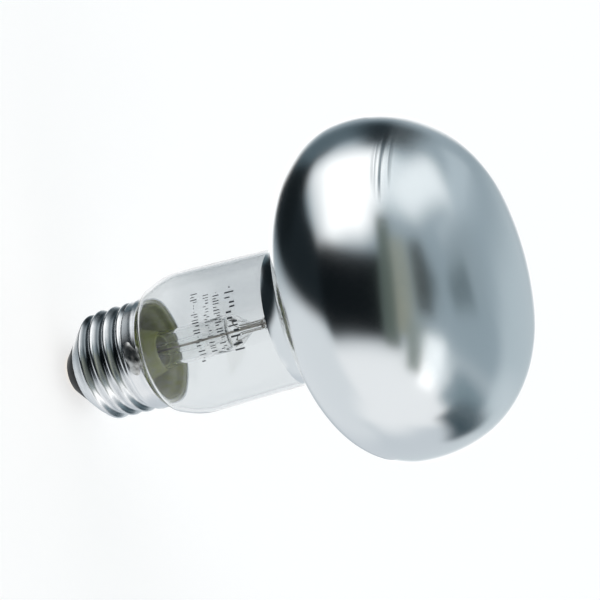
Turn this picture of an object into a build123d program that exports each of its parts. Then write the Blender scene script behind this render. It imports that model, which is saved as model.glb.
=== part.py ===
"""Reflector heat lamp bulb on a 27 mm screw cap.

The lamp stands on its cap, with its axis along +Z. The origin is the tip of the centre contact,
the face is at the top, and the side solder on the cap's rim points along -Y.
"""
import math
import os

from build123d import *

os.makedirs("parts", exist_ok=True)

# Glass bulb: bowl and face
bulb_radius = 40.0
belt_height = 84.1
belt_width = 0.5
back_angle = 79.0
back_arc_radius = 18.0
face_corner_radius = 27.0
face_dome_radius = 76.0
glass_wall = 0.9

# Glass bulb: neck, from the seal inside the cap to the bowl
seal_height = 15.0
seal_radius = 10.9
collar_radius = 12.2
collar_low = 19.4
collar_high = 21.6
shoulder_radius = 15.1
shoulder_rise = 1.4
neck_low_radius = 17.2
neck_low_rise = 7.6
neck_high_radius = 16.1
seal_bend_radius = 2.0
crease_radius = 0.6
shoulder_bend_radius = 3.0
neck_bend_radius = 16.0
bowl_root_radius = 8.0
back_flat = 0.5

# Screw cap: rolled sheet with a knuckle thread of 27 mm class
cap_height = 24.0
cap_sheet = 0.3
skirt_radius = 13.3
skirt_low = 20.6
skirt_step = 1.0
thread_crest_radius = 13.2
thread_root_radius = 12.15
thread_pitch = 3.63
lip_height = 2.4
lip_radius = 6.9
cone_top = 8.8

# Insulator, contact and solder at the end of the cap
insulator_low = 0.6
insulator_end_radius = 4.95
insulator_top = 6.2
insulator_bore_radius = 1.6
contact_radius = 4.6
contact_low = 0.45
contact_top = 0.9
contact_bore_radius = 0.5
contact_edge_radius = 0.2
solder_radius = 2.2
solder_tip_radius = 1.2
side_solder_length = 8.8
side_solder_radius = 1.0
side_solder_height = 23.5

# Basing cement between the neck and the cap
cement_low = 15.5
cement_top_gap = 0.3

# Glass stem: flare, tube and press
stem_radius = 4.3
stem_wall = 0.9
flare_top = 29.0
press_low = 43.0
press_flat = 47.5
press_high = 52.0
press_width = 9.0
press_thickness = 2.4
press_edge_radius = 1.0
exhaust_radius = 1.6
exhaust_bore_radius = 1.0
exhaust_tip = 10.0
exhaust_vent = 44.8

# Wires, filament and the cane that carries them
lead_radius = 0.25
lead_offset = 2.4
lead_splay_height = 57.0
lead_bend_radius = 2.0
lead_cross_height = 12.2
lead_centre_height = 7.5
lead_tail = 0.25
side_lead_gap = 0.4
side_lead_end_gap = 0.1
filament_height = 84.0
filament_radius = 9.0
filament_coil_radius = 0.6
support_angles = (-45.0, 0.0, 45.0)
support_radius = 0.2
support_root = 1.2
arbor_radius = 1.5
button_radius = 2.3
button_height = 78.5

# Where the bowl's straight back meets the neck and the belt
back_tangent = math.tan(math.radians(back_angle))
back_corner = belt_height - back_arc_radius * math.tan(math.radians(back_angle / 2))
neck_high = back_corner - (bulb_radius - neck_high_radius) / back_tangent

# The bend at the bowl's root is limited by the wall that the back arc leaves straight
back_length = (bulb_radius - neck_high_radius) / math.sin(math.radians(back_angle))
back_room = back_length - (belt_height - back_corner) - back_flat
neck_rise = neck_high - cap_height - neck_low_rise
neck_lean = math.degrees(math.atan2(neck_low_radius - neck_high_radius, neck_rise))
root_bend_limit = back_room / math.tan(math.radians((back_angle + neck_lean) / 2))
root_bend_radius = min(bowl_root_radius, root_bend_limit)

# The face is a corner arc that runs into a shallow dome
belt_top = belt_height + belt_width
face_corner_axis = bulb_radius - face_corner_radius
dome_reach = face_dome_radius - face_corner_radius
dome_drop = math.sqrt(dome_reach**2 - face_corner_axis**2)
dome_centre = belt_top - dome_drop
face_corner_turn = math.degrees(math.atan2(dome_drop, face_corner_axis))

# The thread's mean radius, and how far its turning circle is off the axis
thread_mean_radius = (thread_crest_radius + thread_root_radius) / 2
thread_throw = (thread_crest_radius - thread_root_radius) / 2

# The cap's inside, and how far below the skirt the cement meets the thread's root
cap_root_bore = thread_root_radius - cap_sheet
skirt_bore = skirt_radius - cap_sheet
cement_step = skirt_step * (skirt_bore - cap_root_bore) / (skirt_radius - cap_root_bore)

# The cone under the thread, and how far its inside lies from its outside along the radius
cone_slope = (thread_crest_radius - lip_radius) / (cone_top - lip_height)
cone_sheet = cap_sheet * math.hypot(1, cone_slope)
cone_inner_low = lip_radius - cone_sheet
cone_inner_high = cone_inner_low + cone_slope * (insulator_top - lip_height)

# The flare's outer arc runs from the seal's inner edge into the stem tube
flare_rim_radius = seal_radius - glass_wall
flare_spread = flare_rim_radius - stem_radius
flare_rise = flare_top - seal_height
flare_arc_radius = (flare_spread**2 + flare_rise**2) / (2 * flare_spread)
flare_axis = stem_radius + flare_arc_radius
flare_rim_low = seal_height - stem_wall
stem_bore = stem_radius - stem_wall
flare_inner_arc = flare_arc_radius + stem_wall
flare_inner_rim = flare_axis - math.sqrt(flare_inner_arc**2 - (flare_top - flare_rim_low) ** 2)

# The side lead rises between the neck and the cap
side_lead_radius = seal_radius + side_lead_gap
side_lead_skirt_radius = collar_radius + side_lead_gap

# The centre solder's edge arc leaves its flat tip without a corner
solder_spread = solder_radius - solder_tip_radius
solder_edge_radius = (solder_spread**2 + contact_low**2) / (2 * contact_low)

# The side solder's bead turns about the lamp's axis by this much, centred on -Y
bead_arc = math.degrees((side_solder_length - 2 * side_solder_radius) / skirt_bore)
bead_x = math.sin(math.radians(bead_arc / 2))
bead_y = math.cos(math.radians(bead_arc / 2))

# Lead wire from the filament through the stem to the centre contact
with BuildPart() as lead_wire_centre:
    with BuildLine(Plane.YZ) as centre_route:
        FilletPolyline(
            (filament_radius, filament_height),
            (lead_offset, lead_splay_height),
            (lead_offset, lead_cross_height),
            (0, lead_centre_height),
            (0, lead_tail),
            radius=lead_bend_radius,
        )
    with BuildSketch(Plane(origin=centre_route.line @ 0, z_dir=centre_route.line % 0)):
        Circle(lead_radius)
    sweep(path=centre_route.line)
lead_wire_centre.part.label = "lead_wire_centre"
export_step(lead_wire_centre.part, "parts/lead_wire_centre.step")

# Lead wire from the filament through the stem, then up beside the seal to the cap's rim
with BuildPart() as lead_wire_side:
    with BuildLine(Plane.YZ) as side_route:
        FilletPolyline(
            (-filament_radius, filament_height),
            (-lead_offset, lead_splay_height),
            (-lead_offset, lead_cross_height),
            (-side_lead_radius, lead_cross_height),
            (-side_lead_radius, collar_low),
            (-side_lead_skirt_radius, collar_high),
            (-side_lead_skirt_radius, cap_height - side_lead_end_gap),
            radius=lead_bend_radius,
        )
    with BuildSketch(Plane(origin=side_route.line @ 0, z_dir=side_route.line % 0)):
        Circle(lead_radius)
    sweep(path=side_route.line)
lead_wire_side.part.label = "lead_wire_side"
export_step(lead_wire_side.part, "parts/lead_wire_side.step")

# Support wires from the button out to the filament
support_wires = []
for number, angle in enumerate(support_angles, start=1):
    support_x = math.cos(math.radians(angle))
    support_y = math.sin(math.radians(angle))
    with BuildPart() as support_wire:
        with BuildLine() as support_route:
            Line(
                (support_root * support_x, support_root * support_y, button_height),
                (filament_radius * support_x, filament_radius * support_y, filament_height),
            )
        with BuildSketch(Plane(origin=support_route.line @ 0, z_dir=support_route.line % 0)):
            Circle(support_radius)
        sweep(path=support_route.line)
    support_wire.part.label = f"support_wire_{number}"
    export_step(support_wire.part, f"parts/support_wire_{number}.step")
    support_wires.append(support_wire.part)

# Filament: the outer form of the coil, half a ring through the ends of all the wires
with BuildPart() as filament:
    with BuildSketch(Plane(origin=(0, 0, 0), x_dir=(0, -1, 0), z_dir=(-1, 0, 0))):
        with Locations((filament_radius, filament_height)):
            Circle(filament_coil_radius)
    revolve(axis=Axis.Z, revolution_arc=180)
    add([lead_wire_centre.part, lead_wire_side.part], mode=Mode.SUBTRACT)
    add(support_wires, mode=Mode.SUBTRACT)
filament.part.label = "filament"
export_step(filament.part, "parts/filament.step")

# Glass bulb: one blown shell from the seal to the middle of the face
with BuildPart() as glass_envelope:
    with BuildSketch(Plane.XZ):
        with BuildLine():
            FilletPolyline(
                (seal_radius, seal_height),
                (seal_radius, collar_low),
                (collar_radius, collar_high),
                (collar_radius, cap_height),
                (shoulder_radius, cap_height + shoulder_rise),
                (neck_low_radius, cap_height + neck_low_rise),
                (neck_high_radius, neck_high),
                (bulb_radius, back_corner),
                (bulb_radius, belt_top),
                radius=[
                    seal_bend_radius,
                    seal_bend_radius,
                    crease_radius,
                    shoulder_bend_radius,
                    neck_bend_radius,
                    root_bend_radius,
                    back_arc_radius,
                ],
            )
            CenterArc((face_corner_axis, belt_top), face_corner_radius, 0, face_corner_turn)
            CenterArc((0, dome_centre), face_dome_radius, face_corner_turn, 90 - face_corner_turn)
            offset(amount=glass_wall, side=Side.LEFT)
        make_face()
    revolve(axis=Axis.Z)
glass_envelope.part.label = "glass_envelope"
export_step(glass_envelope.part, "parts/glass_envelope.step")

# Exhaust tube, sealed off inside the cap
with BuildPart() as exhaust_tube:
    with BuildSketch(Plane.XZ):
        with BuildLine():
            outer_tip = CenterArc((0, exhaust_tip + exhaust_radius), exhaust_radius, -90, 90)
            inner_tip = CenterArc((0, exhaust_tip + exhaust_radius), exhaust_bore_radius, -90, 90)
            Polyline(
                outer_tip @ 1,
                (exhaust_radius, press_low),
                (exhaust_bore_radius, press_low),
                inner_tip @ 1,
            )
            Line(outer_tip @ 0, inner_tip @ 0)
        make_face()
    revolve(axis=Axis.Z)
exhaust_tube.part.label = "exhaust_tube"
export_step(exhaust_tube.part, "parts/exhaust_tube.step")

# Glass stem: flare fused to the seal, tube, and the flat press around the lead wires
with BuildPart() as glass_stem:
    with BuildSketch(Plane.XZ):
        with BuildLine():
            flare_outside = RadiusArc(
                (stem_radius, flare_top), (flare_rim_radius, seal_height), -flare_arc_radius
            )
            flare_inside = RadiusArc(
                (stem_bore, flare_top), (flare_inner_rim, flare_rim_low), -flare_inner_arc
            )
            Polyline(
                flare_outside @ 1,
                (seal_radius, seal_height),
                (seal_radius, flare_rim_low),
                flare_inside @ 1,
            )
            Polyline(
                flare_outside @ 0,
                (stem_radius, press_low),
                (stem_bore, press_low),
                flare_inside @ 0,
            )
        make_face()
    revolve(axis=Axis.Z)
    with BuildSketch(Plane.XY.offset(press_low)):
        Circle(stem_radius)
    with BuildSketch(Plane.XY.offset(press_flat)) as press_section:
        RectangleRounded(press_thickness, press_width, press_edge_radius)
    loft()
    extrude(press_section.sketch, amount=press_high - press_flat)
    with Locations((0, 0, press_low)):
        Cylinder(
            exhaust_bore_radius,
            exhaust_vent - press_low,
            align=(Align.CENTER, Align.CENTER, Align.MIN),
            mode=Mode.SUBTRACT,
        )
    with Locations(Location((0, 0, exhaust_vent), (0, 90, 0))):
        Cylinder(
            exhaust_bore_radius,
            stem_radius,
            align=(Align.CENTER, Align.CENTER, Align.MIN),
            mode=Mode.SUBTRACT,
        )
    add([lead_wire_centre.part, lead_wire_side.part], mode=Mode.SUBTRACT)
glass_stem.part.label = "glass_stem"
export_step(glass_stem.part, "parts/glass_stem.step")

# Arbor rod: the glass cane on the press, with a button around the roots of the support wires
with BuildPart() as arbor_rod:
    with Locations((0, 0, press_high)):
        Cylinder(
            arbor_radius,
            button_height - press_high,
            align=(Align.CENTER, Align.CENTER, Align.MIN),
        )
    with Locations((0, 0, button_height)):
        Sphere(button_radius)
    add(support_wires, mode=Mode.SUBTRACT)
arbor_rod.part.label = "arbor_rod"
export_step(arbor_rod.part, "parts/arbor_rod.step")

# The cap's outside and inside are the same threaded form, the inside one sheet thickness smaller.
# A level circle that is off the axis by half the thread's depth, carried round once for each
# pitch, makes the knuckle thread. A cone trims it below, and the skirt covers its upper end.
cap_forms = []
for inset, cone_inset in ((0, 0), (cap_sheet, cone_sheet)):
    cone_low_radius = lip_radius - cone_inset
    cone_high_radius = cone_low_radius + cone_slope * (skirt_low - lip_height)
    with BuildPart() as cap_form:
        with BuildLine() as thread_route:
            Helix(thread_pitch, skirt_low - lip_height, thread_throw, center=(0, 0, lip_height))
        with BuildSketch(Plane(origin=thread_route.line @ 0, z_dir=(0, 0, 1))):
            Circle(thread_mean_radius - inset)
        sweep(path=thread_route.line, normal=(0, 0, 1))
        with BuildSketch(Plane.XZ):
            with BuildLine():
                Polyline(
                    (cone_low_radius, 0),
                    (cone_low_radius, lip_height),
                    (cone_high_radius, skirt_low),
                    (cone_high_radius, 0),
                    close=True,
                )
            make_face()
        revolve(axis=Axis.Z, mode=Mode.SUBTRACT)
        with BuildSketch(Plane.XZ):
            with BuildLine():
                Polyline(
                    (0, skirt_low - skirt_step),
                    (cap_root_bore - inset, skirt_low - skirt_step),
                    (skirt_radius - inset, skirt_low),
                    (skirt_radius - inset, cap_height),
                    (0, cap_height),
                    close=True,
                )
            make_face()
        revolve(axis=Axis.Z)
    cap_forms.append(cap_form.part)

# Cap shell: the sheet between the two forms
with BuildPart() as cap_shell:
    add(cap_forms[0])
    add(cap_forms[1], mode=Mode.SUBTRACT)
cap_shell.part.label = "cap_shell"
export_step(cap_shell.part, "parts/cap_shell.step")

# Insulator: black glass moulded into the cone of the cap, with a recess for the contact
with BuildPart() as cap_insulator:
    with BuildSketch(Plane.XZ):
        with BuildLine():
            Polyline(
                (insulator_bore_radius, contact_top),
                (contact_radius, contact_top),
                (contact_radius, insulator_low),
                (insulator_end_radius, insulator_low),
                (cone_inner_low, lip_height),
                (cone_inner_high, insulator_top),
                (insulator_bore_radius, insulator_top),
                close=True,
            )
        make_face()
    revolve(axis=Axis.Z)
cap_insulator.part.label = "cap_insulator"
export_step(cap_insulator.part, "parts/cap_insulator.step")

# Centre contact: a disc in the insulator's recess, with a hole for the lead wire
with BuildPart() as centre_contact:
    with BuildSketch(Plane.XY.offset(contact_low)):
        Circle(contact_radius)
        Circle(contact_bore_radius, mode=Mode.SUBTRACT)
    extrude(amount=contact_top - contact_low)
    lower_rim = centre_contact.edges().group_by(Axis.Z)[0].sort_by(SortBy.LENGTH)[-1]
    fillet(lower_rim, radius=contact_edge_radius)
centre_contact.part.label = "centre_contact"
export_step(centre_contact.part, "parts/centre_contact.step")

# Centre solder: a flat-topped bead that also fills the contact's hole around the wire
with BuildPart() as centre_solder:
    with BuildSketch(Plane.XZ):
        with BuildLine():
            dome = RadiusArc((solder_tip_radius, 0), (solder_radius, contact_low), -solder_edge_radius)
            Polyline(
                dome @ 1,
                (contact_bore_radius, contact_low),
                (contact_bore_radius, contact_top),
                (0, contact_top),
                (0, 0),
                dome @ 0,
            )
        make_face()
    revolve(axis=Axis.Z)
    add(lead_wire_centre.part, mode=Mode.SUBTRACT)
centre_solder.part.label = "centre_solder"
export_step(centre_solder.part, "parts/centre_solder.step")

# Basing cement: fills the space between the neck and the cap, around the side lead
with BuildPart() as basing_cement:
    with BuildSketch(Plane.XZ):
        with BuildLine():
            Polyline(
                (seal_radius - glass_wall / 2, cement_low),
                (cap_root_bore, cement_low),
                (cap_root_bore, skirt_low - cement_step),
                (skirt_bore, skirt_low),
                (skirt_bore, cap_height - cement_top_gap),
                (collar_radius - glass_wall / 2, cap_height - cement_top_gap),
                (collar_radius - glass_wall / 2, collar_high),
                (seal_radius - glass_wall / 2, collar_low),
                close=True,
            )
        make_face()
    revolve(axis=Axis.Z)
    add([glass_envelope.part, lead_wire_side.part], mode=Mode.SUBTRACT)
basing_cement.part.label = "basing_cement"
export_step(basing_cement.part, "parts/basing_cement.step")

# Side solder: a bead with round ends that follows the cap's rim at the end of the side lead
with BuildPart() as side_solder:
    with BuildSketch(Plane(origin=(0, 0, 0), x_dir=(-bead_x, -bead_y, 0), z_dir=(-bead_y, bead_x, 0))):
        with Locations((skirt_bore, side_solder_height)):
            Circle(side_solder_radius)
    revolve(axis=Axis.Z, revolution_arc=bead_arc)
    with Locations(
        (-skirt_bore * bead_x, -skirt_bore * bead_y, side_solder_height),
        (skirt_bore * bead_x, -skirt_bore * bead_y, side_solder_height),
    ):
        Sphere(side_solder_radius)
    for neighbour in (cap_shell, glass_envelope, basing_cement, lead_wire_side):
        add(neighbour.part, mode=Mode.SUBTRACT)
side_solder.part.label = "side_solder"
export_step(side_solder.part, "parts/side_solder.step")
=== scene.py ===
"""Looks of the heat lamp bulb: blown glass, mirror coat, screw cap and the parts inside the neck.

Shapes are worked out in millimetres about the lamp's axis, +Z from the contact to the face.
"""
import math

import bmesh
import bpy
import numpy as np
from mathutils import Matrix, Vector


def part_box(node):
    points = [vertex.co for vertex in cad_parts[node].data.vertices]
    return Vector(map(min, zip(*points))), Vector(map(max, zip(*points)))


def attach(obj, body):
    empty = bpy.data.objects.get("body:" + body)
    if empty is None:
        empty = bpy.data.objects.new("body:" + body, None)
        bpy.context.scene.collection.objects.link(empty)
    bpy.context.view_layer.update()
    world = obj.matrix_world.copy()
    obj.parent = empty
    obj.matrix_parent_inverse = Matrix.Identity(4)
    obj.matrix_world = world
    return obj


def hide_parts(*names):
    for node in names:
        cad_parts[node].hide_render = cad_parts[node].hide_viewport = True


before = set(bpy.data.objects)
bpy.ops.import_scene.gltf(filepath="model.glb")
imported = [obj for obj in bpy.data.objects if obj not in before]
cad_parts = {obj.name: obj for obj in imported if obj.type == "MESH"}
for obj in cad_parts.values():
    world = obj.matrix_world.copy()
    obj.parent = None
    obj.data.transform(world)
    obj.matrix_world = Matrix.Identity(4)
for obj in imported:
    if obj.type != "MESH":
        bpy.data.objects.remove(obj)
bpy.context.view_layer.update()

MM = 0.001


def node_box(name):
    """A node's lowest and highest corners, in millimetres."""
    low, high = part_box(name)
    return np.array(low) / MM, np.array(high) / MM


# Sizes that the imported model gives
envelope_low, envelope_high = node_box("glass_envelope")
cap_low, cap_high = node_box("cap_shell")
insulator_low, insulator_high = node_box("cap_insulator")
cement_low, _ = node_box("basing_cement")
filament_low, filament_high = node_box("filament")
bulb_radius = envelope_high[0]
seal_height = envelope_low[2]
lip_height = cap_low[2]
cap_height = cap_high[2]
skirt_radius = cap_high[0]

# Glass bulb: bowl and face
belt_height = 84.1
belt_width = 0.5
back_angle = 79.0
back_arc_radius = 18.0
face_corner_radius = 27.0
face_dome_radius = 76.0
glass_wall = 0.9
mirror_low = 59.0
mirror_high = 98.0

# Glass bulb: neck
seal_radius = 10.9
collar_radius = 12.2
collar_low = 19.4
collar_high = 21.6
shoulder_radius = 15.1
shoulder_rise = 1.4
neck_low_radius = 17.2
neck_low_rise = 7.6
neck_high_radius = 16.1
seal_bend_radius = 2.0
crease_radius = 0.6
shoulder_bend_radius = 3.0
neck_bend_radius = 16.0
bowl_root_radius = 8.0

# Screw cap
cap_sheet = 0.3
skirt_low = 20.6
skirt_step = 1.0
thread_crest_radius = 13.2
thread_root_radius = 12.15
thread_pitch = 3.63
lip_radius = 6.9
cone_top = 8.8
sheet_end = 4.7
cone_slope = (thread_crest_radius - lip_radius) / (cone_top - lip_height)
cone_blend = 0.4
skirt_blend = 0.25

# Painted shade in the thread's grooves: its reach in X, its fade below the cone's top, and its shares of
# the depth
groove_shade_start = 6.0
groove_shade_full = -2.0
groove_shade_fade = 2.5
groove_shade_top_share = 0.75
groove_shade_full_share = 0.15

# Cement between the neck and the cap
cement_bite = 0.06
cement_gap = 0.4
cement_creep = 24.5
cement_creep_wall = 0.4

# Glass stem
stem_radius = 4.3
stem_wall = 0.9
flare_top = 29.0
press_low = 43.0
press_flat = 47.5
press_high = 52.0
press_width = 9.0
press_thickness = 2.4
bore_end_step = 0.01
seal_inset = 0.2
tip_in = (0.3, 0.8)
tip_up = (0.25, 0.35)
tube_power = 2
press_power = 5

# Filament coil
coil_radius = 0.6
coil_wire = 0.1
coil_turns = 60

# Insulator, contact recess and solder
insulator_end_radius = 4.95
insulator_step = 0.12
insulator_bore_radius = 1.6
insulator_edge_radius = 0.1
insulator_end_edge_radius = 0.5
insulator_top_edge_radius = 0.2
contact_radius = 4.6
contact_top = 0.9
dab_length = 9.8
dab_height = 2.0
dab_thickness = 0.6
dab_middle = 22.5
dab_lean = 0.5

# Lumps in the dab: each wave's height, phase along half the dab, waves around it, and start
dab_lumps = ((0.1, 5, 2, 0), (0.08, 9, -1, 1))

# Stamped marks on the neck: each row's height, size, length and stroke width
stamp_rows = (
    (50.8, 2.3, 15.0, 0.42),
    (47.4, 1.5, 13.5, 0.2),
    (44.8, 1.3, 13.5, 0.18),
    (41.8, 1.6, 15.5, 0.22),
)
stamp_turn = math.radians(258.0)
stamp_seed = 7
ink_film = 0.03

# Strokes: the spread of their widths, and their cuts and gaps as shares of the row's size
stroke_spread = (0.7, 1.3)
stroke_cuts = (0.0, 0.0, 0.45)
stroke_gaps = (0.2, 0.45)

# Fineness of the meshes: points round the axis, levels, spacing along a profile and merging
bulb_segments = 176
stem_segments = 96
cap_levels = 132
flare_levels = 24
glass_spacing = 0.75
cement_spacing = 0.3
merge_distance = 1e-4

# Camera, from a fit of the outline: its tilt, its roll and its reach
camera_elevation = math.radians(21.763)
camera_roll = math.radians(74.883)
camera_aim = 60.0
camera_shift_right = -0.555
camera_shift_up = -3.363
camera_reach = 476.97
camera_lens = 123.74


def unit(vector):
    """The vector at length one."""
    return vector / np.linalg.norm(vector)


def rounded_path(corners, radii, step=math.radians(2.0)):
    """A polyline whose inner corners are arcs.

    An arc of radius R at a corner with half angle h has its centre R / sin h along the bisector,
    and its points turn evenly from one run's tangent point to the other's.
    """
    corners = np.array(corners, float)
    stretches = [corners[:1]]
    for before, corner, after, radius in zip(corners[:-2], corners[1:-1], corners[2:], radii):
        back = unit(before - corner)
        ahead = unit(after - corner)
        half = math.acos(back @ ahead) / 2
        centre = corner + unit(back + ahead) * radius / math.sin(half)
        start = corner + back * radius / math.tan(half) - centre
        end = corner + ahead * radius / math.tan(half) - centre
        turn = math.pi - 2 * half
        share = np.linspace(0, 1, max(3, round(turn / step)))[:, None]
        arc = (np.sin((1 - share) * turn) * start + np.sin(share * turn) * end) / math.sin(turn)
        stretches.append(centre + arc)
    stretches.append(corners[-1:])
    return np.concatenate(stretches)


def evenly_spaced(path, spacing):
    """The same path with points at even steps of its length."""
    steps = np.linalg.norm(np.diff(path, axis=0), axis=1)
    length = np.concatenate([[0], np.cumsum(steps)])
    places = np.linspace(0, length[-1], round(length[-1] / spacing) + 1)
    return np.stack([np.interp(places, length, path[:, axis]) for axis in range(2)], axis=1)


def offset_path(path, distance):
    """The path moved sideways, to the left of its own direction, by the distance."""
    along = np.gradient(path, axis=0)
    along /= np.linalg.norm(along, axis=1, keepdims=True)
    return path + distance * np.stack([-along[:, 1], along[:, 0]], axis=1)


def eased(share):
    """A share from 0 to 1 that starts and ends gently: three squares less two cubes of it."""
    return share * share * (3 - 2 * share)


def turned(profile, segments):
    """A surface of revolution: each profile point (radius, height) goes round the axis."""
    angle = np.linspace(0, 2 * np.pi, segments, endpoint=False)
    radius, height = profile[:, :1], profile[:, 1:]
    level = np.broadcast_to(height, (len(profile), segments))
    return np.stack([radius * np.cos(angle), radius * np.sin(angle), level], axis=-1)


def add_piece(name, grids, materials, finishes=None, close_rows=False):
    """A smooth mesh from grids of points (rows, columns, xyz) in millimetres.

    The columns of each grid close on themselves. With close_rows, its last row meets its first.
    Points that fall together, such as a pole's, are merged. A finish is a material number for
    each row of faces of a grid.
    """
    points, faces, numbers = [], [], []
    start = 0
    for place, grid in enumerate(grids):
        rows, columns = grid.shape[:2]
        index = start + np.arange(rows * columns).reshape(rows, columns)
        index = np.concatenate([index, index[:, :1]], axis=1)
        if close_rows:
            index = np.concatenate([index, index[:1]], axis=0)
        corners = (index[:-1, :-1], index[:-1, 1:], index[1:, 1:], index[1:, :-1])
        quads = np.stack(corners, axis=-1)
        finish = np.zeros(len(quads), int) if finishes is None else finishes[place]
        points.append(grid.reshape(-1, 3))
        faces.append(quads.reshape(-1, 4))
        numbers.append(np.repeat(finish, columns))
        start += rows * columns
    mesh = bpy.data.meshes.new(name)
    mesh.from_pydata(np.concatenate(points) * MM, [], np.concatenate(faces).tolist())
    mesh.polygons.foreach_set("material_index", np.concatenate(numbers))
    for material in materials:
        mesh.materials.append(material)
    merged = bmesh.new()
    merged.from_mesh(mesh)
    bmesh.ops.remove_doubles(merged, verts=merged.verts, dist=merge_distance * MM)
    merged.to_mesh(mesh)
    merged.free()
    mesh.shade_smooth()
    piece = bpy.data.objects.new(name, mesh)
    bpy.context.scene.collection.objects.link(piece)
    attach(piece, "root")
    return piece


def linear(hex_colour):
    """An sRGB hex colour as linear red, green, blue and alpha."""
    channels = np.array([int(hex_colour[place : place + 2], 16) for place in (1, 3, 5)]) / 255
    low = channels / 12.92
    high = ((channels + 0.055) / 1.055) ** 2.4
    return (*np.where(channels <= 0.04045, low, high), 1.0)


def add_node(tree, kind, inputs=None, **settings):
    """Adds a node with its settings. An input's value is a number, a colour or another socket."""
    made = tree.nodes.new("ShaderNode" + kind)
    for name, value in settings.items():
        setattr(made, name, value)
    for socket, value in (inputs or {}).items():
        if isinstance(value, bpy.types.NodeSocket):
            tree.links.new(value, made.inputs[socket])
        else:
            made.inputs[socket].default_value = value
    return made


def new_material(name):
    """An empty material with its node tree and output."""
    material = bpy.data.materials.new(name)
    material.use_nodes = True
    material.node_tree.nodes.clear()
    output = add_node(material.node_tree, "OutputMaterial")
    return material, material.node_tree, output


def per_mm(size):
    """A texture scale that gives features of this size in millimetres."""
    return 1 / (size * MM)


def clear_glass(name, tint, grey_side_tint, edge_tint, ior, wave_size, wave_height):
    """Blown or drawn glass: smooth and clear, with faint slow waves that bend what is behind.

    The glass turns greyer on the -X side and fades back to its tint towards the cap, and the long way
    through the wall at its edges draws them darker.
    """
    material, tree, output = new_material(name)
    place = add_node(tree, "TexCoord").outputs["Object"]
    split = add_node(tree, "SeparateXYZ", {"Vector": place})
    # Greyer towards -X, fading out towards the cap
    grey_side_start, grey_side_full = 3.0, -9.0
    side = add_node(
        tree,
        "MapRange",
        {"Value": split.outputs["X"], "From Min": grey_side_start * MM, "From Max": grey_side_full * MM},
        interpolation_type="SMOOTHSTEP",
    )
    grey_fade_low, grey_fade_high = 31.0, 40.0
    grey_share = add_node(
        tree,
        "MapRange",
        {
            "Value": split.outputs["Z"],
            "From Min": grey_fade_low * MM,
            "From Max": grey_fade_high * MM,
            "To Max": side.outputs["Result"],
        },
        interpolation_type="SMOOTHSTEP",
    )
    greyed = add_node(
        tree,
        "Mix",
        {"Factor": grey_share.outputs["Result"], "A": linear(tint), "B": linear(grey_side_tint)},
        data_type="RGBA",
    )
    edge_start, edge_full = 0.72, 0.95
    slant = add_node(tree, "LayerWeight")
    edge = add_node(
        tree,
        "MapRange",
        {"Value": slant.outputs["Facing"], "From Min": edge_start, "From Max": edge_full},
        interpolation_type="SMOOTHSTEP",
    )
    colour = add_node(
        tree,
        "Mix",
        {"Factor": edge.outputs["Result"], "A": greyed.outputs["Result"], "B": linear(edge_tint)},
        data_type="RGBA",
    )
    waves = add_node(tree, "TexNoise", {"Vector": place, "Scale": per_mm(wave_size), "Detail": 1.0})
    relief = add_node(
        tree,
        "Bump",
        {"Height": waves.outputs["Fac"], "Distance": wave_height * MM, "Strength": 1.0},
    )
    surface = add_node(
        tree,
        "BsdfPrincipled",
        {
            "Base Color": colour.outputs["Result"],
            "Roughness": 0.0,
            "IOR": ior,
            "Transmission Weight": 1.0,
            "Normal": relief.outputs["Normal"],
        },
    )
    tree.links.new(surface.outputs["BSDF"], output.inputs["Surface"])
    return material


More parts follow.
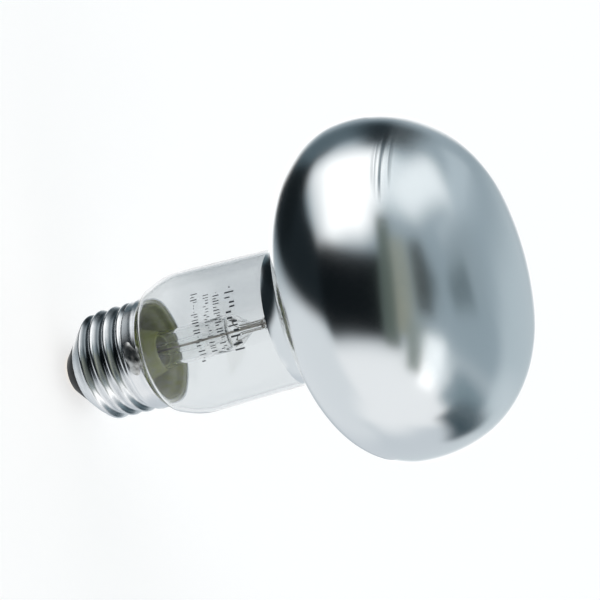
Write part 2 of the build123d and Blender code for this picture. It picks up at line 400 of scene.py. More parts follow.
def silvered_glass():
    """Glass with evaporated aluminium behind it, ending in a brushed edge at the etched face.

    The mirror reflects the room with a slight haze under the polished glass. In front of it the
    etched face is satin, and shows the same reflections softer. Noise that depends on the angle
    alone draws the streaks between the two, and noise squeezed along Z draws dark rings in a patch
    on the -X side, painted dark reflections laid into both colours.
    """
    material, tree, output = new_material("evaporated_aluminium_and_etched_glass")
    place = add_node(tree, "TexCoord").outputs["Object"]
    split = add_node(tree, "SeparateXYZ", {"Vector": place})
    level = add_node(tree, "CombineXYZ", {"X": split.outputs["X"], "Y": split.outputs["Y"]})
    around = add_node(tree, "VectorMath", {0: level.outputs["Vector"]}, operation="NORMALIZE")
    streak_width = 0.9
    streaks = add_node(
        tree,
        "TexNoise",
        {"Vector": around.outputs["Vector"], "Scale": bulb_radius / streak_width, "Detail": 3.0},
    )
    streak_reach = 1.6
    edge_fade = 1.8
    edge = add_node(
        tree,
        "Math",
        {0: streaks.outputs["Fac"], 1: streak_reach * MM, 2: split.outputs["Z"]},
        operation="MULTIPLY_ADD",
    )
    face_share = add_node(
        tree,
        "MapRange",
        {
            "Value": edge.outputs["Value"],
            "From Min": (mirror_high + streak_reach / 2 - edge_fade) * MM,
            "From Max": (mirror_high + streak_reach / 2 + edge_fade) * MM,
        },
        interpolation_type="SMOOTHSTEP",
    )
    ring_size = 1.1
    ring_stretch = 50
    squeeze = add_node(
        tree,
        "Mapping",
        {"Vector": place, "Scale": (1 / ring_stretch, 1 / ring_stretch, 1.0)},
    )
    rings = add_node(
        tree,
        "TexNoise",
        {"Vector": squeeze.outputs["Vector"], "Scale": per_mm(ring_size), "Detail": 2.0},
    )
    ring_middle, ring_reach = (-26.5, 97.6), (9.0, 2.6)
    ring_core = 0.3
    side_view = add_node(tree, "CombineXYZ", {"X": split.outputs["X"], "Y": split.outputs["Z"]})
    from_middle = add_node(
        tree,
        "Mapping",
        {
            "Vector": side_view.outputs["Vector"],
            "Location": (ring_middle[0] * MM, ring_middle[1] * MM, 0.0),
            "Scale": (ring_reach[0] * MM, ring_reach[1] * MM, 1.0),
        },
        vector_type="TEXTURE",
    )
    away = add_node(tree, "VectorMath", {0: from_middle.outputs["Vector"]}, operation="LENGTH")
    ring_patch = add_node(
        tree,
        "MapRange",
        {"Value": away.outputs["Value"], "From Min": 1.0, "From Max": ring_core},
        interpolation_type="SMOOTHSTEP",
    )
    # Painted dark reflections: where the rings lie, both colours darken towards a dark grey
    dark_reflection_start, dark_reflection_full = 0.5, 0.62
    dark_reflection_share = add_node(
        tree,
        "MapRange",
        {
            "Value": rings.outputs["Fac"],
            "From Min": dark_reflection_start,
            "From Max": dark_reflection_full,
            "To Max": ring_patch.outputs["Result"],
        },
        interpolation_type="SMOOTHSTEP",
    )
    bright, dulled = (
        add_node(
            tree,
            "Mix",
            {"Factor": dark_reflection_share.outputs["Result"], "A": linear(clean), "B": linear("#78848a")},
            data_type="RGBA",
        )
        for clean in ("#f0f3f4", "#e6edf0")
    )
    noise_low, noise_high = 0.3, 0.7
    cloud_size = 14.0
    clear_roughness, hazy_roughness = 0.15, 0.2
    clouds = add_node(tree, "TexNoise", {"Vector": place, "Scale": per_mm(cloud_size), "Detail": 2.0})
    haze = add_node(
        tree,
        "MapRange",
        {
            "Value": clouds.outputs["Fac"],
            "From Min": noise_low,
            "From Max": noise_high,
            "To Min": clear_roughness,
            "To Max": hazy_roughness,
        },
    )
    mirror = add_node(
        tree,
        "BsdfPrincipled",
        {
            "Base Color": bright.outputs["Result"],
            "Metallic": 1.0,
            "Roughness": haze.outputs["Result"],
            "Coat Weight": 1.0,
            "Coat Roughness": 0.05,
        },
    )
    grit_size = 0.35
    fine_roughness, coarse_roughness = 0.2, 0.26
    grit = add_node(tree, "TexNoise", {"Vector": place, "Scale": per_mm(grit_size), "Detail": 2.0})
    satin = add_node(
        tree,
        "MapRange",
        {
            "Value": grit.outputs["Fac"],
            "From Min": noise_low,
            "From Max": noise_high,
            "To Min": fine_roughness,
            "To Max": coarse_roughness,
        },
    )
    etched = add_node(
        tree,
        "BsdfPrincipled",
        {
            "Base Color": dulled.outputs["Result"],
            "Metallic": 0.9,
            "Roughness": satin.outputs["Result"],
            "Coat Weight": 1.0,
            "Coat Roughness": 0.1,
        },
    )
    both = add_node(
        tree,
        "MixShader",
        {0: face_share.outputs["Result"], 1: mirror.outputs["BSDF"], 2: etched.outputs["BSDF"]},
    )
    tree.links.new(both.outputs["Shader"], output.inputs["Surface"])
    return material


def worn_metal(
    name, colour, dull_colour, roughness, dull_roughness, patch_size, line_size, line_height, groove_shade=None
):
    """Sheet, wire or solder: soft dull patches over a bright ground, and fine lines in the surface.

    The lines run round the lamp's axis, because the noise that draws them is squeezed along Z.
    The last colour given is painted shade for the grooves of the cap's thread on the -X side, strongest at
    their bottom.
    """
    material, tree, output = new_material(name)
    place = add_node(tree, "TexCoord").outputs["Object"]
    patch_low, patch_high = 0.42, 0.68
    patches = add_node(tree, "TexNoise", {"Vector": place, "Scale": per_mm(patch_size), "Detail": 4.0})
    share = add_node(
        tree,
        "MapRange",
        {"Value": patches.outputs["Fac"], "From Min": patch_low, "From Max": patch_high},
        interpolation_type="SMOOTHSTEP",
    )
    ground = add_node(
        tree,
        "Mix",
        {"Factor": share.outputs["Result"], "A": linear(colour), "B": linear(dull_colour)},
        data_type="RGBA",
    )
    # Painted shade: the thread's grooves darken on the -X side, most at their bottom
    if groove_shade:
        split = add_node(tree, "SeparateXYZ", {"Vector": place})
        across = add_node(tree, "CombineXYZ", {"X": split.outputs["X"], "Y": split.outputs["Y"]})
        radius = add_node(tree, "VectorMath", {0: across.outputs["Vector"]}, operation="LENGTH")
        side = add_node(
            tree,
            "MapRange",
            {"Value": split.outputs["X"], "From Min": groove_shade_start * MM, "From Max": groove_shade_full * MM},
            interpolation_type="SMOOTHSTEP",
        )
        threaded = add_node(
            tree,
            "MapRange",
            {
                "Value": split.outputs["Z"],
                "From Min": (cone_top - groove_shade_fade) * MM,
                "From Max": cone_top * MM,
                "To Max": side.outputs["Result"],
            },
        )
        thread_depth = thread_crest_radius - thread_root_radius
        depth = add_node(
            tree,
            "MapRange",
            {
                "Value": radius.outputs["Value"],
                "From Min": (thread_root_radius + groove_shade_top_share * thread_depth) * MM,
                "From Max": (thread_root_radius + groove_shade_full_share * thread_depth) * MM,
                "To Max": threaded.outputs["Result"],
            },
            interpolation_type="SMOOTHSTEP",
        )
        ground = add_node(
            tree,
            "Mix",
            {"Factor": depth.outputs["Result"], "A": ground.outputs["Result"], "B": linear(groove_shade)},
            data_type="RGBA",
        )
    matt = add_node(
        tree,
        "MapRange",
        {"Value": share.outputs["Result"], "To Min": roughness, "To Max": dull_roughness},
    )
    line_stretch = 25
    squeeze = add_node(
        tree,
        "Mapping",
        {"Vector": place, "Scale": (1 / line_stretch, 1 / line_stretch, 1.0)},
    )
    lines = add_node(
        tree,
        "TexNoise",
        {"Vector": squeeze.outputs["Vector"], "Scale": per_mm(line_size), "Detail": 2.0},
    )
    relief = add_node(
        tree,
        "Bump",
        {"Height": lines.outputs["Fac"], "Distance": line_height * MM, "Strength": 1.0},
    )
    surface = add_node(
        tree,
        "BsdfPrincipled",
        {
            "Base Color": ground.outputs["Result"],
            "Metallic": 1.0,
            "Roughness": matt.outputs["Result"],
            "Normal": relief.outputs["Normal"],
        },
    )
    tree.links.new(surface.outputs["BSDF"], output.inputs["Surface"])
    return material


# Noise levels between which a mottled finish goes from one colour to the other
mottle_low = 0.35
mottle_high = 0.65


def mottled(name, colour, other_colour, roughness, gloss, mottle_size, relief_height):
    """A dull or glazed solid whose colour and surface vary softly, such as ink or black glass."""
    material, tree, output = new_material(name)
    place = add_node(tree, "TexCoord").outputs["Object"]
    mottle = add_node(tree, "TexNoise", {"Vector": place, "Scale": per_mm(mottle_size), "Detail": 5.0})
    share = add_node(
        tree,
        "MapRange",
        {"Value": mottle.outputs["Fac"], "From Min": mottle_low, "From Max": mottle_high},
    )
    ground = add_node(
        tree,
        "Mix",
        {"Factor": share.outputs["Result"], "A": linear(other_colour), "B": linear(colour)},
        data_type="RGBA",
    )
    relief = add_node(
        tree,
        "Bump",
        {"Height": mottle.outputs["Fac"], "Distance": relief_height * MM, "Strength": 1.0},
    )
    surface = add_node(
        tree,
        "BsdfPrincipled",
        {
            "Base Color": ground.outputs["Result"],
            "Roughness": roughness,
            "Specular IOR Level": gloss,
            "Normal": relief.outputs["Normal"],
        },
    )
    tree.links.new(surface.outputs["BSDF"], output.inputs["Surface"])
    return material


def baked_cement():
    """Baked cement: dull, yellow-green and mottled, with painted shade: a darker copy of its colours on the
    -X side.
    """
    material, tree, output = new_material("baked_basing_cement")
    place = add_node(tree, "TexCoord").outputs["Object"]
    split = add_node(tree, "SeparateXYZ", {"Vector": place})
    mottle_size = 2.2
    mottle = add_node(tree, "TexNoise", {"Vector": place, "Scale": per_mm(mottle_size), "Detail": 5.0})
    # Painted shade: the -X side takes the darker, shaded copy of the colours, the +X side the lit one
    shaded_side_x, lit_side_x = -5.0, 4.0
    lit_side_share = add_node(
        tree,
        "MapRange",
        {"Value": split.outputs["X"], "From Min": shaded_side_x * MM, "From Max": lit_side_x * MM},
        interpolation_type="SMOOTHSTEP",
    )
    share = add_node(
        tree,
        "MapRange",
        {"Value": mottle.outputs["Fac"], "From Min": mottle_low, "From Max": mottle_high},
    )
    pale = add_node(
        tree,
        "Mix",
        {"Factor": share.outputs["Result"], "A": linear("#f4f69c"), "B": linear("#fdfdd0")},
        data_type="RGBA",
    )
    dark = add_node(
        tree,
        "Mix",
        {"Factor": share.outputs["Result"], "A": linear("#bac054"), "B": linear("#d2d87c")},
        data_type="RGBA",
    )
    ground = add_node(
        tree,
        "Mix",
        {"Factor": lit_side_share.outputs["Result"], "A": dark.outputs["Result"], "B": pale.outputs["Result"]},
        data_type="RGBA",
    )
    surface = add_node(
        tree,
        "BsdfPrincipled",
        {"Base Color": ground.outputs["Result"], "Roughness": 0.85},
    )
    tree.links.new(surface.outputs["BSDF"], output.inputs["Surface"])
    return material


# Blown bulb glass is nearly colourless, and drawn stem glass is clearer still
bulb_glass = clear_glass(
    "blown_soda_lime_glass",
    tint="#eff1f2",
    grey_side_tint="#dcdfe1",
    edge_tint="#8d9498",
    ior=1.52,
    wave_size=9.0,
    wave_height=0.02,
)
stem_glass = clear_glass(
    "drawn_lead_glass",
    tint="#fafbfb",
    grey_side_tint="#f2f3f3",
    edge_tint="#c9cecf",
    ior=1.45,
    wave_size=4.0,
    wave_height=0.03,
)
silvering = silvered_glass()

# Rolled aluminium is bright with a soft sheen, and its thread's grooves on the -X side get painted shade
cap_metal = worn_metal(
    "rolled_aluminium",
    colour="#f2f3f4",
    dull_colour="#e2e4e6",
    roughness=0.2,
    dull_roughness=0.3,
    patch_size=6.0,
    line_size=0.25,
    line_height=0.003,
    groove_shade="#7b8388",
)

# Solder sets in bright and dull lumps
solder = worn_metal(
    "tinned_solder",
    colour="#d2d2d0",
    dull_colour="#b4b3b0",
    roughness=0.28,
    dull_roughness=0.5,
    patch_size=0.8,
    line_size=0.5,
    line_height=0.03,
)

# Nickel wire is a warm grey, and drawn tungsten a darker, duller one
lead_wire = worn_metal(
    "nickel_wire",
    colour="#9d978e",
    dull_colour="#7f7a72",
    roughness=0.3,
    dull_roughness=0.45,
    patch_size=2.0,
    line_size=0.3,
    line_height=0.003,
)
tungsten = worn_metal(
    "drawn_tungsten",
    colour="#6f6d70",
    dull_colour="#5a585b",
    roughness=0.35,
    dull_roughness=0.5,
    patch_size=1.0,
    line_size=0.2,
    line_height=0.002,
)

# Stamped brass is yellow, with tarnished patches
contact_brass = worn_metal(
    "stamped_brass",
    colour="#c9a860",
    dull_colour="#a98a4b",
    roughness=0.25,
    dull_roughness=0.45,
    patch_size=1.5,
    line_size=0.3,
    line_height=0.004,
)

# Moulded black glass is nearly black, with a faint gloss
black_glass = mottled(
    "moulded_black_glass",
    colour="#0f0f12",
    other_colour="#060607",
    roughness=0.35,
    gloss=0.05,
    mottle_size=3.0,
    relief_height=0.05,
)
cement = baked_cement()

# Stamped ink is flat and grey, and thin in places
ink = mottled(
    "stamped_grey_ink",
    colour="#35383c",
    other_colour="#4d5155",
    roughness=0.7,
    gloss=0.3,
    mottle_size=0.5,
    relief_height=0.01,
)


def envelope_profile():
    """The bulb's outside from the seal to the middle of the face, as (radius, height).

    The neck and the bowl's back are runs with rounded corners. The face is an arc that turns
    from the belt into a shallow dome.
    """
    back_tangent = math.tan(math.radians(back_angle))
    back_corner = belt_height - back_arc_radius * math.tan(math.radians(back_angle / 2))
    neck_high = back_corner - (bulb_radius - neck_high_radius) / back_tangent
    belt_top = belt_height + belt_width
    body = rounded_path(
        [
            (seal_radius, seal_height),
            (seal_radius, collar_low),
            (collar_radius, collar_high),
            (collar_radius, cap_height),
            (shoulder_radius, cap_height + shoulder_rise),
            (neck_low_radius, cap_height + neck_low_rise),
            (neck_high_radius, neck_high),
            (bulb_radius, back_corner),
            (bulb_radius, belt_top),
        ],
        [
            seal_bend_radius,
            seal_bend_radius,
            crease_radius,
            shoulder_bend_radius,
            neck_bend_radius,
            bowl_root_radius,
            back_arc_radius,
        ],
    )
    corner_axis = bulb_radius - face_corner_radius
    dome_drop = math.sqrt((face_dome_radius - face_corner_radius) ** 2 - corner_axis**2)
    corner_turn = math.atan2(dome_drop, corner_axis)
    corner_points, dome_points = 60, 24
    turn = np.linspace(0, corner_turn, corner_points)[1:]
    corner = np.stack(
        [
            corner_axis + face_corner_radius * np.cos(turn),
            belt_top + face_corner_radius * np.sin(turn),
        ],
        axis=1,
    )
    turn = np.linspace(corner_turn, math.pi / 2, dome_points)[1:]
    dome = np.stack(
        [face_dome_radius * np.cos(turn), belt_top - dome_drop + face_dome_radius * np.sin(turn)],
        axis=1,
    )
    return np.concatenate([body, corner, dome])


def make_envelope():
    """One glass shell: the outside, then the inside from the face back to the seal."""
    outside = evenly_spaced(envelope_profile(), glass_spacing)
    inside = offset_path(outside, glass_wall)[::-1]
    outside[-1, 0] = 0
    inside[0, 0] = 0
    loop = np.concatenate([outside, inside])
    middle = (loop[:, 1] + np.roll(loop[:, 1], -1)) / 2
    finish = (middle > mirror_low).astype(int)
    piece = add_piece(
        "bulb_envelope",
        [turned(loop, bulb_segments)],
        [bulb_glass, silvering],
        [finish],
        close_rows=True,
    )
    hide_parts("glass_envelope")


def soft_least(first, second, blend):
    """The lesser of two values, with a rounded change-over as wide as the blend."""
    return (first + second - np.sqrt((first - second) ** 2 + blend**2)) / 2


def soft_most(first, second, blend):
    """The greater of two values, with a rounded change-over as wide as the blend."""
    return (first + second + np.sqrt((first - second) ** 2 + blend**2)) / 2


def cap_radius(angle, height, inset):
    """The cap's radius at an angle and a height, less an inset.

    The thread is a level circle that is off the axis by half its depth and goes round once for
    each pitch. A cone trims it at the lip, and the skirt rises above it in a short step.
    """
    mean = (thread_crest_radius + thread_root_radius) / 2 - inset
    throw = (thread_crest_radius - thread_root_radius) / 2
    lag = angle - 2 * np.pi * (height - lip_height) / thread_pitch
    thread = throw * np.cos(lag) + np.sqrt(mean**2 - (throw * np.sin(lag)) ** 2)
    cone = lip_radius - inset * math.hypot(1, cone_slope) + cone_slope * (height - lip_height)
    rise = eased(np.clip((height - skirt_low + skirt_step) / skirt_step, 0, 1))
    skirt = (skirt_radius - inset) * rise + (thread_root_radius - cap_sheet - inset) * (1 - rise)
    trimmed = soft_least(thread, cone, cone_blend)
    return np.where(height < skirt_low - skirt_step, trimmed, soft_most(trimmed, skirt, skirt_blend))


def make_cap():
    """The cap's sheet: the threaded outside, the rim, then the inside one sheet smaller."""
    angle = np.linspace(0, 2 * np.pi, bulb_segments, endpoint=False)[None, :]
    height = np.linspace(sheet_end, cap_height, cap_levels)[:, None]
    walls = []
    for inset in (0, cap_sheet):
        radius = cap_radius(angle, height, inset)
        level = np.broadcast_to(height, radius.shape)
        walls.append(np.stack([radius * np.cos(angle), radius * np.sin(angle), level], axis=-1))
    sheet = np.concatenate([walls[0], walls[1][::-1]])
    piece = add_piece("screw_cap", [sheet], [cap_metal], close_rows=True)
    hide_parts("cap_shell")


def flare_radius(height):
    """The flare's outside: an arc that leaves the stem tube upright and spreads to the seal."""
    spread = seal_radius - glass_wall - stem_radius
    rise = flare_top - seal_height
    arc = (spread**2 + rise**2) / (2 * spread)
    return stem_radius + arc - np.sqrt(arc**2 - (flare_top - height) ** 2)


def make_stem():
    """The stem's glass: the bore, the flare's rim, then the outside up to the flat press.

    Each level is a rounded oblong, |x / a|^n + |y / b|^n = 1, that goes from a circle in the tube
    to the press's section.
    """
    flare_rim_radius = seal_radius - glass_wall
    seal_rim_radius = seal_radius - seal_inset
    bore = stem_radius - stem_wall
    spread_levels, flat_levels = 12, 8
    rise = np.linspace(seal_height, flare_top, flare_levels)
    flare = flare_radius(rise)
    spread = np.linspace(press_low, press_flat, spread_levels)
    flat = np.linspace(press_flat, press_high, flat_levels)[1:]
    height = np.concatenate(
        [
            [press_low, press_low - bore_end_step, flare_top],
            rise[::-1][1:],
            [seal_height - stem_wall, seal_height - stem_wall, seal_height],
            rise,
            spread,
            flat,
            [press_high + tip_up[0], press_high + tip_up[1], press_high + tip_up[1]],
        ]
    )
    radius = np.concatenate(
        [
            [0, bore, bore],
            flare[::-1][1:] - stem_wall,
            [flare_rim_radius - stem_wall, seal_rim_radius, seal_rim_radius],
            flare,
            np.full(len(spread) + len(flat), stem_radius),
            [stem_radius - tip_in[0], stem_radius - tip_in[1], 0],
        ]
    )
    share = eased(np.clip((height - press_low) / (press_flat - press_low), 0, 1))[:, None]
    narrow = radius[:, None] * (1 - share + share * press_thickness / 2 / stem_radius)
    broad = radius[:, None] * (1 - share + share * press_width / 2 / stem_radius)
    power = tube_power + (press_power - tube_power) * share
    angle = np.linspace(0, 2 * np.pi, stem_segments, endpoint=False)[None, :]
    reach = (np.abs(np.cos(angle)) ** power + np.abs(np.sin(angle)) ** power) ** (-1 / power)
    level = np.broadcast_to(height[:, None], reach.shape)
    grid = np.stack([narrow * reach * np.cos(angle), broad * reach * np.sin(angle), level], axis=-1)
    piece = add_piece("stem_glass", [grid], [stem_glass])
    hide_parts("glass_stem")


def make_cement():
    """Basing cement: up the cap's inside nearly to the rim, and back down along the glass.

    A second ring has crept up under the flare. Both bite a little into the glass, which they wet,
    so that no film of air shows between them.
    """
    neck = evenly_spaced(envelope_profile(), cement_spacing)
    wetted = offset_path(neck, cement_bite)
    cement_top = cap_height - cement_gap
    wetted = wetted[wetted[:, 1] < cement_top]
    root_bore = thread_root_radius - cap_sheet
    skirt_bore = skirt_radius - cap_sheet
    cap_side = np.array(
        [
            (root_bore, cement_low[2]),
            (root_bore, skirt_low - skirt_step),
            (skirt_bore, skirt_low),
            (skirt_bore, cement_top),
        ]
    )
    creep = np.linspace(seal_height, cement_creep, flare_levels)
    under_flare = flare_radius(creep) - stem_wall
    crept = np.concatenate(
        [
            np.stack([under_flare + cement_bite, creep], axis=1),
            np.stack([under_flare - cement_creep_wall, creep], axis=1)[::-1],
        ]
    )
    ring = turned(np.concatenate([cap_side, wetted[::-1]]), bulb_segments)
    piece = add_piece("cement_ring", [ring, turned(crept, stem_segments)], [cement], close_rows=True)
    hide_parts("basing_cement")


def make_filament():
    """The filament's coil: a fine wire wound on half a ring.

    The wire's line goes round the ring's line once for each turn, and a small circle is carried
    along it, square to its direction.
    """
    points_per_turn, wire_sides = 14, 6
    ring_radius = (filament_high[1] - filament_low[1]) / 2 - coil_radius
    ring_height = (filament_high[2] + filament_low[2]) / 2
    ring = np.linspace(-np.pi / 2, np.pi / 2, coil_turns * points_per_turn)
    wind = np.linspace(0, 2 * np.pi * coil_turns, len(ring))
    outward = np.stack([np.cos(ring), np.sin(ring), np.zeros(len(ring))], axis=1)
    upward = np.array([0.0, 0.0, 1.0])
    lean = np.cos(wind)[:, None] * outward + np.sin(wind)[:, None] * upward
    line = ring_radius * outward + (coil_radius - coil_wire) * lean + ring_height * upward
    along = np.gradient(line, axis=0)
    along /= np.linalg.norm(along, axis=1, keepdims=True)
    side = np.cross(along, lean)
    around = np.linspace(0, 2 * np.pi, wire_sides, endpoint=False)[None, :, None]
    tube = line[:, None] + coil_wire * (np.cos(around) * lean[:, None] + np.sin(around) * side[:, None])
    ends = [np.repeat(line[[place]][:, None], wire_sides, axis=1) for place in (0, -1)]
    piece = add_piece("filament_coil", [np.concatenate([ends[0], tube, ends[1]])], [tungsten])
    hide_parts("filament")


def make_insulator():
    """Black glass in the cap's cone, with rounded edges and a recess for the contact."""
    sheet_radius = lip_radius + cone_slope * (sheet_end - lip_height)
    bore_radius = sheet_radius - cap_sheet * math.hypot(1, cone_slope)
    low, top = insulator_low[2], insulator_high[2]
    middle = (contact_top + top) / 2
    profile = rounded_path(
        [
            (insulator_bore_radius, middle),
            (insulator_bore_radius, contact_top),
            (contact_radius, contact_top),
            (contact_radius, low),
            (insulator_end_radius, low),
            (sheet_radius - insulator_step, sheet_end),
            (bore_radius, sheet_end),
            (bore_radius + cone_slope * (top - sheet_end), top),
            (insulator_bore_radius, top),
            (insulator_bore_radius, middle),
        ],
        [
            insulator_edge_radius,
            insulator_edge_radius,
            insulator_edge_radius,
            insulator_end_edge_radius,
            insulator_edge_radius,
            insulator_edge_radius,
            insulator_top_edge_radius,
            insulator_edge_radius,
        ],
        step=math.radians(15),
    )
    piece = add_piece("insulator", [turned(profile, stem_segments)], [black_glass])
    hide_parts("cap_insulator")


def make_side_solder():
    """The dab of solder at the cap's rim: a leaf that leans along the rim, with soft lumps.

    Its section at each place along the rim is an ellipse whose size falls to nothing at the ends,
    and a few slow waves of its two angles make it uneven.
    """
    places, sides = 49, 32
    along = np.linspace(-1, 1, places)[:, None]
    around = np.linspace(0, 2 * np.pi, sides, endpoint=False)[None, :]
    waves = [
        lump * np.sin(phase_along * along + waves_around * around + start)
        for lump, phase_along, waves_around, start in dab_lumps
    ]
    lumps = sum(waves, 1)
    size = np.sqrt(np.clip(1 - along**2, 0, 1)) * lumps
    radius = skirt_radius - cap_sheet + dab_thickness * size * np.cos(around)
    level = dab_middle + dab_lean * along + dab_height * size * np.sin(around)
    angle = 1.5 * np.pi + along * dab_length / 2 / skirt_radius
    grid = np.stack([radius * np.cos(angle), radius * np.sin(angle), level], axis=-1)
    piece = add_piece("rim_solder", [grid[::-1]], [solder])
    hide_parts("side_solder")


def make_stamp():
    """Rows of plain strokes stamped round the neck, each a thin curved plate of ink on the glass.

    A stroke's section is a flat oblong on the neck's outside, carried round the axis. A seeded
    draw sets the strokes' widths, heights and gaps.
    """
    profile = envelope_profile()
    draw = np.random.default_rng(stamp_seed)
    strokes = []
    turns = 3
    for height, size, length, stroke_width in stamp_rows:
        start = -length / 2
        while start < length / 2:
            width = stroke_width * draw.uniform(*stroke_spread)
            low = height - size / 2 + size * draw.choice(stroke_cuts)
            high = height + size / 2 - size * draw.choice(stroke_cuts)
            level = np.array([low, high, high, low])
            radius = np.interp(level, profile[:, 1], profile[:, 0])
            radius = radius + ink_film * np.array([1, 1, -1, -1])
            turn = stamp_turn + np.linspace(start, start + width, turns)[:, None] / neck_high_radius
            stroke = np.stack(
                [radius * np.cos(turn), radius * np.sin(turn), np.broadcast_to(level, (turns, len(level)))],
                axis=-1,
            )
            middles = stroke.mean(axis=1, keepdims=True)
            ends = [np.repeat(middles[[place]], len(level), axis=1) for place in (0, -1)]
            strokes.append(np.concatenate([ends[0], stroke, ends[1]])[::-1])
            start += width + size * draw.uniform(*stroke_gaps)
    piece = add_piece("neck_stamp", strokes, [ink])
    piece.data.shade_flat()


make_envelope()
make_cap()
make_cement()
make_stem()
make_filament()
make_insulator()
make_side_solder()
make_stamp()

# Nodes whose shape is right keep it and take a finish
node_finishes = {
    "exhaust_tube": stem_glass,
    "arbor_rod": stem_glass,
    "lead_wire_centre": lead_wire,
    "lead_wire_side": lead_wire,
    "support_wire_1": lead_wire,
    "support_wire_2": lead_wire,
    "support_wire_3": lead_wire,
    "centre_contact": contact_brass,
    "centre_solder": solder,
}
for name, finish in node_finishes.items():
    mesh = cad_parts[name].data
    mesh.materials.clear()
    mesh.materials.append(finish)

# Camera axes in the lamp's frame: right, up and back towards the camera
level_right = np.array([1.0, 0.0, 0.0])
level_up = np.array([0.0, math.sin(camera_elevation), math.cos(camera_elevation)])
view_back = np.array([0.0, -math.cos(camera_elevation), math.sin(camera_elevation)])
view_right = math.cos(camera_roll) * level_right + math.sin(camera_roll) * level_up
view_up = -math.sin(camera_roll) * level_right + math.cos(camera_roll) * level_up
camera_place = (
    np.array([0.0, 0.0, camera_aim])
    - camera_shift_right * view_right
    - camera_shift_up * view_up
    + camera_reach * view_back
)
camera = bpy.data.objects.new("camera", bpy.data.cameras.new("camera"))
camera.data.lens = camera_lens
camera_matrix = np.eye(4)
camera_matrix[:3, :3] = np.stack([view_right, view_up, view_back], axis=1)
camera_matrix[:3, 3] = camera_place * MM
camera.matrix_world = Matrix(camera_matrix.tolist())
bpy.context.scene.collection.objects.link(camera)
bpy.context.scene.camera = camera


# A count of dull bounces above this is one or more
no_bounce = 0.5


def first_sight(tree):
    """One for what the camera sees straight on or through clear glass, and zero for other light."""
    path = add_node(tree, "LightPath")
    sight = add_node(
        tree,
        "Math",
        {0: path.outputs["Is Camera Ray"], 1: path.outputs["Is Transmission Ray"]},
        operation="MAXIMUM",
    )
    undimmed = add_node(
        tree,
        "Math",
        {0: path.outputs["Diffuse Depth"], 1: no_bounce},
        operation="LESS_THAN",
    )
    both = add_node(
        tree,
        "Math",
        {0: sight.outputs["Value"], 1: undimmed.outputs["Value"]},
        operation="MULTIPLY",
    )
    return both.outputs["Value"]


def make_floor():
    """A wide pale disc under the lamp. The camera sees it near white, with the lamp's soft shadow.

    Metal doesn't see it, and reflects the studio's own pale floor.
    """
    floor_radius = 8000.0
    rim_points = 64
    glow_level = 0.7
    material, tree, output = new_material("pale_paper_floor")
    level = add_node(tree, "Math", {0: first_sight(tree), 1: glow_level}, operation="MULTIPLY")
    paper = add_node(tree, "BsdfDiffuse", {"Color": linear("#a3a09e")})
    glow = add_node(tree, "Emission", {"Color": linear("#ffffff"), "Strength": level.outputs["Value"]})
    both = add_node(tree, "AddShader", {0: paper.outputs["BSDF"], 1: glow.outputs["Emission"]})
    tree.links.new(both.outputs["Shader"], output.inputs["Surface"])
    angle = np.linspace(0, 2 * np.pi, rim_points, endpoint=False)
    rim = np.stack([np.cos(angle), np.sin(angle), np.zeros(rim_points)], axis=1) * floor_radius * MM
    mesh = bpy.data.meshes.new("floor")
    mesh.from_pydata(rim, [], [list(range(rim_points))])
    mesh.materials.append(material)
    floor = bpy.data.objects.new("floor", mesh)
    floor.visible_glossy = False
    bpy.context.scene.collection.objects.link(floor)


def studio_patch(tree, place, below, colour, level, centre, reach, fade, tilt):
    """Lays a soft patch of the studio over what is below it.

    A place is two angles in degrees. The patch is a box of half width and half height reach about
    its centre, tilted, and it fades out over so many degrees beyond its edge.
    """
    own = add_node(
        tree,
        "Mapping",
        {"Vector": place, "Location": (*centre, 0.0), "Rotation": (0.0, 0.0, math.radians(tilt))},
        vector_type="TEXTURE",
    )
    away = add_node(tree, "VectorMath", {0: own.outputs["Vector"]}, operation="ABSOLUTE")
    past = add_node(
        tree,
        "VectorMath",
        {0: away.outputs["Vector"], 1: (*reach, 0.0)},
        operation="SUBTRACT",
    )
    outside = add_node(
        tree,
        "VectorMath",
        {0: past.outputs["Vector"], 1: (0.0, 0.0, 0.0)},
        operation="MAXIMUM",
    )
    distance = add_node(tree, "VectorMath", {0: outside.outputs["Vector"]}, operation="LENGTH")
    share = add_node(
        tree,
        "MapRange",
        {"Value": distance.outputs["Value"], "From Min": fade, "From Max": 0.0},
        interpolation_type="SMOOTHSTEP",
    )
    light = [channel * level for channel in linear(colour)]
    laid = add_node(
        tree,
        "Mix",
        {"Factor": share.outputs["Result"], "A": below, "B": light},
        data_type="RGBA",
    )
    return laid.outputs["Result"]


# The studio that the mirror and the metal reflect: each patch's colour, light level, middle, half
# size, fade and tilt. On the walls and cards a place is a turn about the studio's upright, from the
# camera to its right, and a climb above level. On the ceiling it is how far a place lies to the
# right of overhead and how far towards the camera. All are in degrees.
studio_grey = "#93a1a9"
wall_patches = (
    ("#f2f4f6", 1.0, (0, -90), (200, 46), 26, 0),
    ("#cbd2d8", 1.0, (180, -44), (50, 20), 22, 0),
    ("#cbd2d8", 1.0, (-180, -44), (40, 20), 22, 0),
    ("#dde2e6", 1.0, (-110, -36), (40, 20), 24, 0),
    ("#b9c4cb", 1.0, (122, 31), (18, 4), 8, 0),
    ("#ccd5da", 1.0, (152, -18), (24, 10), 18, 0),
    ("#bac5cb", 1.0, (140, 0), (12, 6), 14, 0),
    ("#bcc6cd", 1.0, (88, 26), (12, 4), 8, 0),
    ("#1c2327", 1.0, (-92, 16), (56, 17), 14, -18),
)
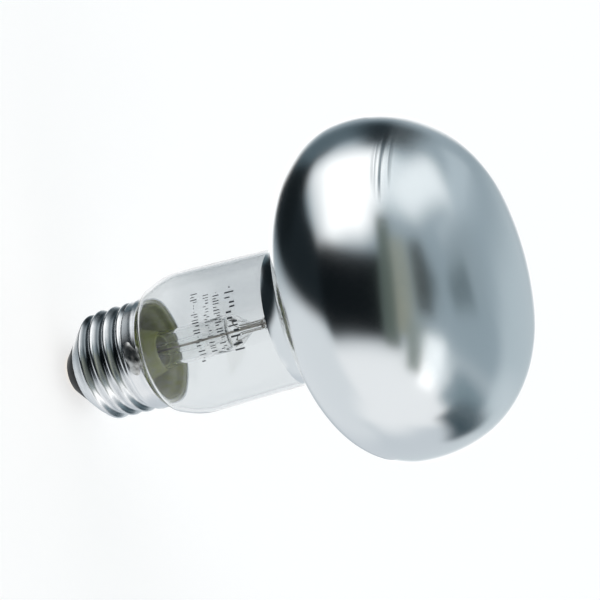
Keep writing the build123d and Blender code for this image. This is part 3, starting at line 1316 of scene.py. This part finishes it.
ceiling_patches = (
    ("#151b1e", 1.0, (-56, -30), (8, 8), 16, 0),
    ("#55646c", 1.0, (-12, -40), (16, 7), 12, 0),
    ("#ffffff", 1.1, (-16, -73), (22, 3), 10, 0),
    ("#dbe2e6", 1.0, (14, 14), (8, 14), 14, 0),
    ("#ffffff", 1.35, (-19, 18), (10, 19), 27, 15),
    ("#8f9ca3", 1.0, (70, -4), (4, 22), 12, 0),
    ("#f8fafb", 1.1, (33, 5), (6, 18), 14, 22),
    ("#20292e", 1.0, (9, -32), (6, 8), 15, 0),
    ("#4f5b60", 1.0, (56, 57), (6, 6), 14, 0),
    ("#57656b", 1.0, (80, 12), (3, 14), 10, 0),
)
card_patches = (
    ("#0f1417", 1.0, (-24, -2), (24, 22), 12, 0),
    ("#58635e", 1.0, (10, 8), (4, 38), 7, 0),
    ("#95988b", 1.0, (23, 6), (4, 26), 7, 0),
    ("#7f8985", 1.0, (33, -30), (5, 12), 9, 0),
    ("#0c1412", 1.0, (41, 12), (4, 17), 7, 0),
    ("#ffffff", 1.3, (50, -37), (6, 13), 9, 0),
    ("#6f828b", 1.0, (98, -42), (20, 6), 12, 0),
    ("#3a4a52", 1.0, (122, -46), (20, 4), 11, 19),
    ("#ffffff", 1.2, (180, 2), (10, 20), 12, 0),
    ("#ffffff", 1.2, (-172, 9), (16, 10), 12, 0),
)


# How much more of the studio's light dull pieces get than metal does
dull_gain = 1.2


def make_studio():
    """The world: plain white behind the lamp, and for all other light a studio of soft patches.

    It is mostly mid grey, so dull pieces get more of it, until a colour renders as it is written.
    """
    world = bpy.data.worlds.new("studio")
    bpy.context.scene.world = world
    world.use_nodes = True
    tree = world.node_tree
    tree.nodes.clear()
    direction = add_node(tree, "TexCoord").outputs["Generated"]
    right = add_node(tree, "VectorMath", {0: direction, 1: view_right}, operation="DOT_PRODUCT")
    up = add_node(tree, "VectorMath", {0: direction, 1: view_up}, operation="DOT_PRODUCT")
    back = add_node(tree, "VectorMath", {0: direction, 1: view_back}, operation="DOT_PRODUCT")
    turn = add_node(
        tree,
        "Math",
        {0: right.outputs["Value"], 1: back.outputs["Value"]},
        operation="ARCTAN2",
    )
    climb = add_node(tree, "Math", {0: up.outputs["Value"]}, operation="ARCSINE")
    around = add_node(tree, "CombineXYZ", {"X": turn.outputs["Value"], "Y": climb.outputs["Value"]})
    level = add_node(tree, "CombineXYZ", {"X": right.outputs["Value"], "Y": back.outputs["Value"]})
    bearing = add_node(tree, "VectorMath", {0: level.outputs["Vector"]}, operation="NORMALIZE")
    fall = add_node(tree, "Math", {0: up.outputs["Value"]}, operation="ARCCOSINE")
    overhead = add_node(
        tree,
        "VectorMath",
        {0: bearing.outputs["Vector"], "Scale": fall.outputs["Value"]},
        operation="SCALE",
    )
    studio = linear(studio_grey)
    for patches, angles in ((wall_patches, around), (ceiling_patches, overhead), (card_patches, around)):
        place = add_node(
            tree,
            "VectorMath",
            {0: angles.outputs["Vector"], "Scale": math.degrees(1)},
            operation="SCALE",
        )
        for patch in patches:
            studio = studio_patch(tree, place.outputs["Vector"], studio, *patch)
    seen = add_node(
        tree,
        "Mix",
        {"Factor": first_sight(tree), "A": studio, "B": linear("#ffffff")},
        data_type="RGBA",
    )
    path = add_node(tree, "LightPath")
    dull = add_node(
        tree,
        "Math",
        {0: path.outputs["Diffuse Depth"], 1: no_bounce},
        operation="GREATER_THAN",
    )
    strength = add_node(
        tree,
        "Math",
        {0: dull.outputs["Value"], 1: dull_gain, 2: 1.0},
        operation="MULTIPLY_ADD",
    )
    light = add_node(
        tree,
        "Background",
        {"Color": seen.outputs["Result"], "Strength": strength.outputs["Value"]},
    )
    output = add_node(tree, "OutputWorld")
    tree.links.new(light.outputs["Background"], output.inputs["Surface"])


make_floor()
make_studio()

scene = bpy.context.scene
scene.view_settings.view_transform = "Standard"
scene.cycles.max_bounces = 32
scene.cycles.transmission_bounces = 32
scene.cycles.glossy_bounces = 12
scene.cycles.use_denoising = True
